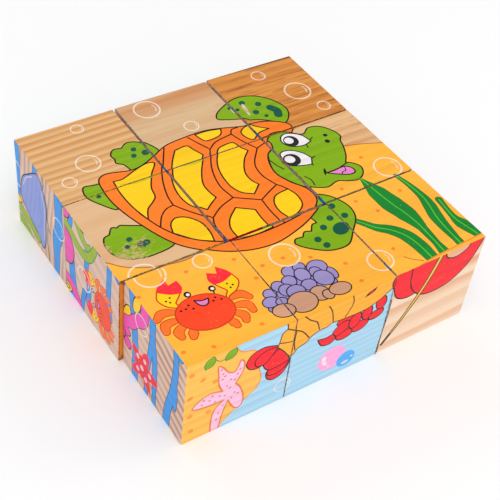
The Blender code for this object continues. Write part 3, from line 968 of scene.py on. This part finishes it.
def bottom_picture():
    """Shells, starfish and jellyfish scattered on warm sand."""
    sheet = Sheet()
    sheet.fill([(-0.2, -0.2), (3.2, -0.2), (3.2, 3.2), (-0.2, 3.2)], "sand", 0.95)
    sheet.dots([(0.13 + 0.41 * i + 0.13 * (j % 2),
                 0.11 + 0.37 * j + 0.06 * math.sin(3 * i)) for i in range(7)
                for j in range(8)], 0.022, "sand_dot")
    for x, y, size, turn in ((0.52, 0.52, 0.72, -12), (2.50, 1.52, 0.78, 15), (1.5, 2.5, 0.74, -6)):
        scallop(sheet, Spot(x, y, size, turn), "pale_pink" if x < 2 else "purple")
    for x, y, size, turn in ((1.5, 0.5, 0.84, 12), (0.5, 2.5, 0.86, -10), (2.5, 2.5, 0.7, 25)):
        starfish(sheet, Spot(x, y, size, turn), "red" if y < 2 else "magenta", "maroon", "pale_pink")
    crab(sheet, Spot(2.5, 0.42, 0.92))
    crab(sheet, Spot(1.5, 1.42, 1.0))
    jelly(sheet, Spot(0.5, 1.55, 0.85), "drop")
    return sheet


# ---------------------------------------------------------------- cubes

X, Y, Z = Vector((1, 0, 0)), Vector((0, 1, 0)), Vector((0, 0, 1))
# Each face of a cube: the way out, the picture's right and the picture's up, in the cube's own axes.
FACES = {
    "top": (Z, X, Y),
    "bottom": (-Z, X, -Y),
    "front": (-Y, X, Z),
    "back": (Y, -X, Z),
    "left": (-X, -Y, Z),
    "right": (X, Y, Z),
}
CUBES = {"front_left": (0, 0), "front_middle": (1, 0), "front_right": (2, 0), "middle_left": (0, 1),
         "centre": (1, 1), "middle_right": (2, 1), "back_left": (0, 2), "back_middle": (1, 2),
         "back_right": (2, 2)}


def tile_of(face, column, row):
    """Which tile of a face's picture a cube carries, from its place in the block."""
    return {
        "top": (column, row),
        "bottom": (column, 2 - row),
        "front": (column, row),
        "back": (2 - column, 2 - row),
        "left": (2 - row, column),
        "right": (row, 2 - column),
    }[face]


def standing(node):
    """A cube's middle, side and turn about the upright, from its CAD node."""
    low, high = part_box(node)
    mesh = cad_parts[node].data
    flat = [p for p in mesh.polygons if p.area > (0.9 * (high.z - low.z)) ** 2 / 2 and p.normal.x > 0.9]
    turn = math.atan2(flat[0].normal.y, flat[0].normal.x)
    return (low + high) / 2, high.z - low.z, turn


def smooth_noise(points, scale, seed):
    """Soft noise between -1 and 1 in three dimensions, from a few turned waves."""
    rng = np.random.default_rng(seed)
    total = np.zeros(len(points))
    for _ in range(6):
        way = rng.normal(size=3)
        way /= np.linalg.norm(way)
        total += np.sin(points @ way * 2 * math.pi / (scale * rng.uniform(0.7, 1.5)) + rng.uniform(0, 6.28))
    return total / 6


def joined(places):
    """For each point, which point stands for it, once those of two tiles along a cube's edge are one."""
    same = np.arange(len(places))
    outer = np.abs(places) > 0.5 - ON_FACE
    for free in range(3):
        others = [axis for axis in range(3) if axis != free]
        found = np.flatnonzero(outer[:, others].all(1))
        side = np.sign(places[found][:, others]) @ (2, 1)
        order = np.lexsort((places[found, free], side))
        found, side = found[order], side[order]
        apart = (np.diff(places[found, free]) > EDGE_WELD) | (np.diff(side) != 0)
        group = np.concatenate([[0], np.cumsum(apart)])
        same[found] = same[found[np.unique(group, return_index=True)[1]]][group]
    return same[same]


def corner(face):
    """Where x and y are 0 on a face of the unit cube."""
    out, right, up = FACES[face]
    return 0.5 * (out - right - up)


def printed_tiles(pictures, column, row, side):
    """A cube's six tiles, cut so that neighbours share their points along the cube's edges."""
    tiles = {face: Tile(pictures[face], *tile_of(face, column, row), side) for face in FACES}
    edge_points = []
    for face, tile in tiles.items():
        _, right, up = FACES[face]
        for (axis, level), along in tile.crossed:
            x, y = (level, along) if axis == 0 else (along, level)
            edge_points.append((face, corner(face) + right * x + up * y))
    for face, tile in tiles.items():
        out, right, up = FACES[face]
        shared = {}
        for other, point in edge_points:
            if other == face or abs(point.dot(out) - 0.5) > ON_FACE:
                continue
            x, y = (point - corner(face)).dot(right), (point - corner(face)).dot(up)
            if min(abs(x), abs(1 - x)) < ON_FACE:
                shared.setdefault((0, float(round(x))), []).append(y)
            else:
                shared.setdefault((1, float(round(y))), []).append(x)
        tile.triangulate(shared)
    return tiles


def unit_cube(tiles):
    """Six tiles as one closed cube: its points, how rubbed they are, its faces, their ink and cover."""
    places, faces = [], []
    first = 0
    for face, tile in tiles.items():
        right, up = map(np.array, FACES[face][1:])
        places.append(np.array(corner(face)) + tile.place[:, :1] * right + tile.place[:, 1:] * up)
        faces.append(tile.faces + first)
        first += len(tile.place)
    ink, cover, rubbed = (np.concatenate([getattr(tile, what) for tile in tiles.values()])
                          for what in ("ink", "cover", "rubbed"))
    used, faces = np.unique(np.concatenate(faces), return_inverse=True)
    places, rubbed = np.concatenate(places)[used], rubbed[used]
    keep, same = np.unique(joined(places), return_inverse=True)
    faces = same.reshape(-1)[faces.reshape(-1, 3)]
    whole = (faces != np.roll(faces, 1, axis=1)).all(1)
    return places[keep], rubbed[keep], faces[whole], ink[whole], cover[whole]


def rounded(places, edge, side, seed):
    """The unit cube at its real size with rounded, slightly dented edges, and its normals."""
    radius = EDGE_RADIUS / side
    core = np.clip(places, radius - 0.5, 0.5 - radius)
    out = (places - core) / radius
    out /= np.linalg.norm(out, axis=1, keepdims=True)
    sanded = np.clip(1 - edge / (1.6 * radius), 0, 1)
    waves = 0.8 * smooth_noise(places, 0.22, seed) + 0.5 * smooth_noise(places, 0.05, seed + 50)
    dent = DENT * sanded * (0.6 + waves)
    local = (core + out * radius) * side - out * np.maximum(dent, 0)[:, None]
    local[:, :2] *= 1 + 2 * SKIN / side
    return local, out


def seam_shade_at(places, edge, column, row, radius):
    """Painted shade in the seams: darker on the walls that face a neighbour, and on the rounded edges above
    them, where the neighbour shades them.
    """
    inward = [way for way, near in ((X, column < 2), (-X, column > 0), (Y, row < 2), (-Y, row > 0)) if near]
    nearest = np.max(places @ np.array(inward).T, axis=1)
    rim = (nearest > 0.5 - 1.1 * radius) * np.clip(1 - edge / radius, 0, 1)
    return np.maximum(rim, nearest > 0.5 - ON_FACE)


def cube_piece(name, column, row, pictures, seed):
    """One printed cube, in its place, with its ink, wood and edge stored on the mesh."""
    middle, side, turn = standing("cube_" + name)
    places, rubbed, faces, ink, cover = unit_cube(printed_tiles(pictures, column, row, side))
    edge = np.sort(0.5 - np.abs(places), axis=1)[:, 1]
    local, out = rounded(places, edge, side, seed)

    stand = Matrix.Translation(middle) @ Matrix.Rotation(turn, 4, "Z")
    turned = np.array(stand.to_3x3())
    mesh = bpy.data.meshes.new("printed_" + name)
    mesh.from_pydata((local @ turned.T + np.array(middle)).tolist(), [], faces.tolist())
    mesh.polygons.foreach_set("use_smooth", [True] * len(mesh.polygons))
    mesh.normals_split_custom_set_from_vertices((out @ turned.T).tolist())
    store(mesh, "ink", "FLOAT_VECTOR", "CORNER", np.repeat(ink, 3, axis=0))
    store(mesh, "cover", "FLOAT", "CORNER", np.repeat(cover, 3))
    store(mesh, "wood", "FLOAT_VECTOR", "POINT", local / MM)
    store(mesh, "edge", "FLOAT", "POINT", edge * side / MM)
    store(mesh, "rubbed", "FLOAT", "POINT", rubbed)
    # painted shade in the seams, on the walls and rounded edges that face a neighbour
    store(mesh, "seam_shade", "FLOAT", "POINT", seam_shade_at(places, edge, column, row, EDGE_RADIUS / side))
    store(mesh, "end", "FLOAT", "POINT", (np.abs(out[:, 0]) > 0.7).astype(float))
    piece = bpy.data.objects.new("printed_" + name, mesh)
    bpy.context.scene.collection.objects.link(piece)
    return piece


def store(mesh, name, kind, domain, values):
    """Keep numbers on the mesh for the material to read."""
    layer = mesh.attributes.new(name, kind, domain)
    layer.data.foreach_set("vector" if kind == "FLOAT_VECTOR" else "value", np.ravel(values))


# ---------------------------------------------------------------- material

class Nodes:
    """A short way to write a node tree: each call makes one node and returns its first output."""

    def __init__(self, name):
        self.material = bpy.data.materials.new(name)
        self.material.use_nodes = True
        self.tree = self.material.node_tree
        self.shader = self.tree.nodes["Principled BSDF"]

    def link(self, value, socket):
        if isinstance(value, bpy.types.NodeSocket):
            self.tree.links.new(value, socket)
        else:
            socket.default_value = value

    def math(self, operation, *values, clamp=False):
        node = self.tree.nodes.new("ShaderNodeMath")
        node.operation = operation
        node.use_clamp = clamp
        for socket, value in zip(node.inputs, values):
            self.link(value, socket)
        return node.outputs[0]

    def times(self, first, second, clamp=False):
        return self.math("MULTIPLY", first, second, clamp=clamp)

    def plus(self, first, second, clamp=False):
        return self.math("ADD", first, second, clamp=clamp)

    def minus(self, first, second):
        return self.math("SUBTRACT", first, second)

    def ramp(self, value, low, high, to_low=0.0, to_high=1.0):
        """A smooth step from one value to another."""
        node = self.tree.nodes.new("ShaderNodeMapRange")
        node.interpolation_type = "SMOOTHSTEP"
        for socket, item in zip(node.inputs, (value, low, high, to_low, to_high)):
            self.link(item, socket)
        return node.outputs[0]

    def mix(self, amount, first, second, kind="MIX"):
        node = self.tree.nodes.new("ShaderNodeMix")
        node.data_type = "RGBA"
        node.blend_type = kind
        self.link(amount, node.inputs[0])
        self.link(first, node.inputs[6])
        self.link(second, node.inputs[7])
        return node.outputs[2]

    def noise(self, scale, detail=2.0, roughness=0.5):
        """Noise in the wood's own millimetres, stretched along each axis by a scale."""
        stretch = self.tree.nodes.new("ShaderNodeMapping")
        self.link(self.place, stretch.inputs["Vector"])
        stretch.inputs["Location"].default_value = self.offset
        stretch.inputs["Scale"].default_value = scale
        node = self.tree.nodes.new("ShaderNodeTexNoise")
        self.link(stretch.outputs[0], node.inputs["Vector"])
        node.inputs["Scale"].default_value = 1.0
        node.inputs["Detail"].default_value = detail
        node.inputs["Roughness"].default_value = roughness
        return node.outputs["Fac"]

    def attribute(self, name, output):
        node = self.tree.nodes.new("ShaderNodeAttribute")
        node.attribute_name = name
        return node.outputs[output]

    def separate(self, vector):
        node = self.tree.nodes.new("ShaderNodeSeparateXYZ")
        self.link(vector, node.inputs[0])
        return node.outputs


def paint(code):
    """A colour written as six hexadecimal digits, for a colour socket."""
    return (*linear(code), 1)


def growth_rings(make, look):
    """How much late wood shows along the fibres, and on the end grain, where the rings waver less."""
    wander = make.noise((0.007, 0.04, 0.04), detail=1.0)
    ripple = make.noise((0.012, 0.4, 0.4))
    angle = math.radians(look.ring_turn)
    axes = make.separate(make.place)
    across = make.plus(axes["Y"], look.pith * math.cos(angle))
    up = make.plus(axes["Z"], look.pith * math.sin(angle))
    from_pith = make.math("SQRT", make.plus(make.times(across, across), make.times(up, up)))
    rings = make.times(from_pith, 1 / look.ring_gap)
    strong_year = make.ramp(make.noise((0.004, 0.09, 0.09), detail=0.0), 0.25, 0.7, 0.35, 1.0)

    def late_wood(turns, start, full, fade):
        phase = make.math("FRACT", turns)
        late = make.times(make.ramp(phase, start, full), make.ramp(phase, fade, 1.0, 1.0, 0.0))
        return make.times(late, strong_year)

    wavy = make.plus(make.plus(rings, make.times(wander, 2.2)), make.times(ripple, 0.25))
    calm = make.plus(rings, make.times(wander, 1.2))
    return late_wood(wavy, 0.10, 0.75, 0.86), late_wood(calm, 0.25, 0.80, 0.88)


def bare_wood(make, look, late, end_late, fibre, pores):
    """The wood's colour: soft tones, rings, dark streaks and pores, and pinker end grain."""
    soft = make.noise((0.012, 0.28, 0.28))
    amount = make.plus(make.times(late, look.contrast), make.times(make.minus(fibre, 0.5), 0.55))
    amount = make.plus(amount, make.times(make.minus(soft, 0.5), 0.7), clamp=True)
    back = make.ramp(make.separate(make.place)["Y"], 2.0, 14.0)
    amount = make.plus(amount, make.times(back, look.back_tone), clamp=True)
    wood = make.mix(amount, paint(look.light), paint(look.dark))
    streak_noise = make.noise((0.07, 1.5, 1.5), roughness=0.6)
    wood = make.mix(make.times(make.ramp(streak_noise, 0.54, 0.66), look.streaky), wood, paint("7c3f16"))
    wood = make.mix(make.times(pores, 0.28), wood, paint("7a4c28"))
    end_amount = make.plus(make.times(end_late, 0.8 * look.contrast),
                           make.times(make.minus(fibre, 0.45), 0.5), clamp=True)
    end_wood = make.mix(end_amount, paint("e2c4b4"), paint("a8745c"))
    return make.mix(make.times(make.attribute("end", "Fac"), 0.9), wood, end_wood)


def missing_print(make, edge, rub):
    """Where the ink is gone: rubbed edges, specks on raised grain, flaked patches and pinholes."""
    worn = make.ramp(make.plus(edge, make.times(make.minus(rub, 0.5), 2.6)), -0.60, -0.10, 1.0, 0.0)
    patch = make.noise((0.11, 0.11, 0.11))
    speck = make.noise((1.6, 2.4, 2.4), roughness=0.6)
    missing = make.times(make.ramp(patch, 0.68, 0.80), make.ramp(speck, 0.56, 0.64))
    flaky = make.noise((0.8, 1.9, 1.9), detail=3.0, roughness=0.7)
    rubbed = make.times(make.attribute("rubbed", "Fac"), 0.30)
    missing = make.math("MAXIMUM", missing, make.ramp(make.plus(rubbed, flaky), 0.72, 0.80))
    pinholes = make.ramp(make.noise((1.2, 3.5, 3.5), detail=0.0), 0.80, 0.84)
    bare = make.math("MAXIMUM", worn, make.times(missing, 0.65))
    return make.math("MAXIMUM", bare, make.times(pinholes, 0.5))


def varnish(make, fibre, late, pores, cover, bare):
    """A thin satin coat that follows the fibres, the rings and the ink."""
    sheen = make.minus(make.plus(make.times(fibre, 0.16), 0.34), make.times(cover, 0.05))
    make.link(make.plus(sheen, make.times(bare, 0.15)), make.shader.inputs["Roughness"])
    make.shader.inputs["Specular IOR Level"].default_value = 0.14
    height = make.plus(make.times(fibre, 0.030), make.times(late, 0.020))
    height = make.minus(make.plus(height, make.times(cover, 0.012)), make.times(pores, 0.02))
    bump = make.tree.nodes.new("ShaderNodeBump")
    bump.inputs["Strength"].default_value = 0.35
    bump.inputs["Distance"].default_value = MM
    make.link(height, bump.inputs["Height"])
    make.link(bump.outputs[0], make.shader.inputs["Normal"])


def printed_wood(name, look, seed):
    """Softwood with growth rings and fibres along X, printed in opaque inks and thinly varnished."""
    make = Nodes("printed_wood_" + name)
    make.place = make.attribute("wood", "Vector")
    make.offset = (13.7 * seed, 5.1 * seed, 9.3 * seed)
    late, end_late = growth_rings(make, look)
    fibre = make.noise((0.05, 3.2, 3.2), detail=3.0, roughness=0.65)
    pores = make.ramp(make.noise((0.35, 7.0, 7.0), detail=1.0), 0.70, 0.78)
    wood = bare_wood(make, look, late, end_late, fibre, pores)

    edge = make.attribute("edge", "Fac")
    rub = make.noise((0.9, 0.9, 0.9), detail=3.0, roughness=0.7)
    bare = missing_print(make, edge, rub)
    cover = make.times(make.attribute("cover", "Fac"), make.minus(1.0, bare), clamp=True)
    grain = make.plus(make.times(fibre, 0.75), make.times(late, 0.25))
    ink = make.mix(1.0, make.attribute("ink", "Color"), make.ramp(grain, 0.15, 0.85, 1.08, 0.86),
                   "MULTIPLY")
    colour = make.mix(make.times(cover, 0.995), wood, ink)
    # Painted shade in the seams: towards dark brown 2c180c on the walls and rounded edges that face a
    # neighbour, broken up by the rub noise and fading out between 0.18 and 0.55 mm from the edge.
    seam_shade = make.times(make.attribute("seam_shade", "Fac"), make.ramp(rub, 0.38, 0.62, 0.25, 0.9))
    seam_shade = make.times(seam_shade, make.ramp(edge, 0.18, 0.55, 1.0, 0.0))
    make.link(make.mix(seam_shade, colour, paint("2c180c")), make.shader.inputs["Base Color"])
    varnish(make, fibre, late, pores, cover, bare)
    return make.material


Look = namedtuple("Look", "light dark ring_turn ring_gap pith contrast streaky back_tone")

# Each cube's wood: light and dark tone, ring direction in degrees (0 is sideways, 90 is upright), ring
# spacing in mm, distance of the pith in mm, how strongly the rings show, how much dark streaks do, and
# how much darker the wood gets towards the back.
WOODS = {
    "front_left": ("e2b98c", "c98f57", 107.0, 3.9, 250.0, 1.1, 0.1, 0.0),
    "front_middle": ("dcb48c", "bd8656", 80.0, 2.6, 120.0, 0.5, 0.1, 0.0),
    "front_right": ("f2d6ba", "e0a67c", 96.0, 6.4, 230.0, 0.85, 0.0, 0.0),
    "middle_left": ("e0b68a", "d0965e", 115.0, 5.5, 120.0, 0.35, 0.0, 0.0),
    "centre": ("dcb084", "c08a58", 20.0, 2.8, 100.0, 0.5, 0.1, 0.0),
    "middle_right": ("e5b886", "cc8c54", 35.0, 2.6, 80.0, 0.7, 0.3, 0.0),
    "back_left": ("e3b67e", "c98142", 8.0, 2.9, 240.0, 0.72, 0.05, 0.0),
    "back_middle": ("dab88e", "c98048", 62.0, 5.0, 60.0, 0.45, 0.1, 0.45),
    "back_right": ("dc9244", "b86626", 30.0, 3.2, 60.0, 0.6, 0.6, 0.0),
}


# ---------------------------------------------------------------- stage

AZIMUTH, ELEVATION, ROLL = -38.5, 44.35, 7.4      # of the photograph's view, in degrees
DISTANCE = 0.340
TARGET = Vector((0.0001, -0.0061, 0.0127))
LENS, SENSOR = 75.8, 36.0


def photo_camera():
    """A camera at the photograph's viewing angle."""
    azimuth, elevation, roll = map(math.radians, (AZIMUTH, ELEVATION, ROLL))
    right = Vector((math.cos(azimuth), math.sin(azimuth), 0))
    back = Vector((math.sin(azimuth) * math.cos(elevation), -math.cos(azimuth) * math.cos(elevation),
                   math.sin(elevation)))
    up = back.cross(right)
    right, up = right * math.cos(roll) + up * math.sin(roll), up * math.cos(roll) - right * math.sin(roll)
    data = bpy.data.cameras.new("camera")
    data.lens = LENS
    data.sensor_width = SENSOR
    data.clip_start = 0.01
    camera = bpy.data.objects.new("camera", data)
    turned = Matrix((right, up, back)).transposed().to_4x4()
    camera.matrix_world = Matrix.Translation(TARGET + back * DISTANCE) @ turned
    bpy.context.scene.collection.objects.link(camera)
    bpy.context.scene.camera = camera


def floor():
    """A plain pale floor, wide enough for every view."""
    reach = 12.0
    mesh = bpy.data.meshes.new("floor")
    mesh.from_pydata([(-reach, -reach, 0), (reach, -reach, 0), (reach, reach, 0), (-reach, reach, 0)], [],
                     [(0, 1, 2, 3)])
    make = Nodes("pale_floor")
    make.shader.inputs["Base Color"].default_value = (0.95, 0.95, 0.95, 1)
    make.shader.inputs["Roughness"].default_value = 0.8
    make.shader.inputs["Specular IOR Level"].default_value = 0.1
    mesh.materials.append(make.material)
    obj = bpy.data.objects.new("floor", mesh)
    bpy.context.scene.collection.objects.link(obj)


def soft_light(name, place, size, power):
    """A square soft box that faces the block."""
    data = bpy.data.lights.new(name, "AREA")
    data.size = size
    data.energy = power
    light = bpy.data.objects.new(name, data)
    light.location = place
    light.rotation_euler = (-Vector(place)).to_track_quat("-Z", "Y").to_euler()
    bpy.context.scene.collection.objects.link(light)


def studio():
    world = bpy.data.worlds.new("studio")
    world.use_nodes = True
    back = world.node_tree.nodes["Background"]
    back.inputs["Color"].default_value = (1.0, 1.0, 1.0, 1)
    back.inputs["Strength"].default_value = 0.62
    bpy.context.scene.world = world
    soft_light("key_light", (-0.25, -0.5, 1.1), 0.9, 4.8)
    soft_light("front_light", (-0.60, -0.95, 0.50), 0.9, 3.2)
    soft_light("right_light", (0.95, -0.2, 0.55), 0.8, 2.0)
    soft_light("back_light", (0.0, 1.0, 0.6), 0.8, 2.0)
    bpy.context.scene.view_settings.view_transform = "Standard"


# ---------------------------------------------------------------- all together

photo_camera()
floor()
studio()
pictures = {
    "top": top_picture(),
    "front": front_picture(),
    "left": left_picture(),
    "back": back_picture(),
    "right": right_picture(),
    "bottom": bottom_picture(),
}
for seed, (name, (column, row)) in enumerate(CUBES.items(), 1):
    piece = cube_piece(name, column, row, pictures, seed)
    piece.data.materials.append(printed_wood(name, Look(*WOODS[name]), seed))
    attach(piece, name)
    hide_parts("cube_" + name)
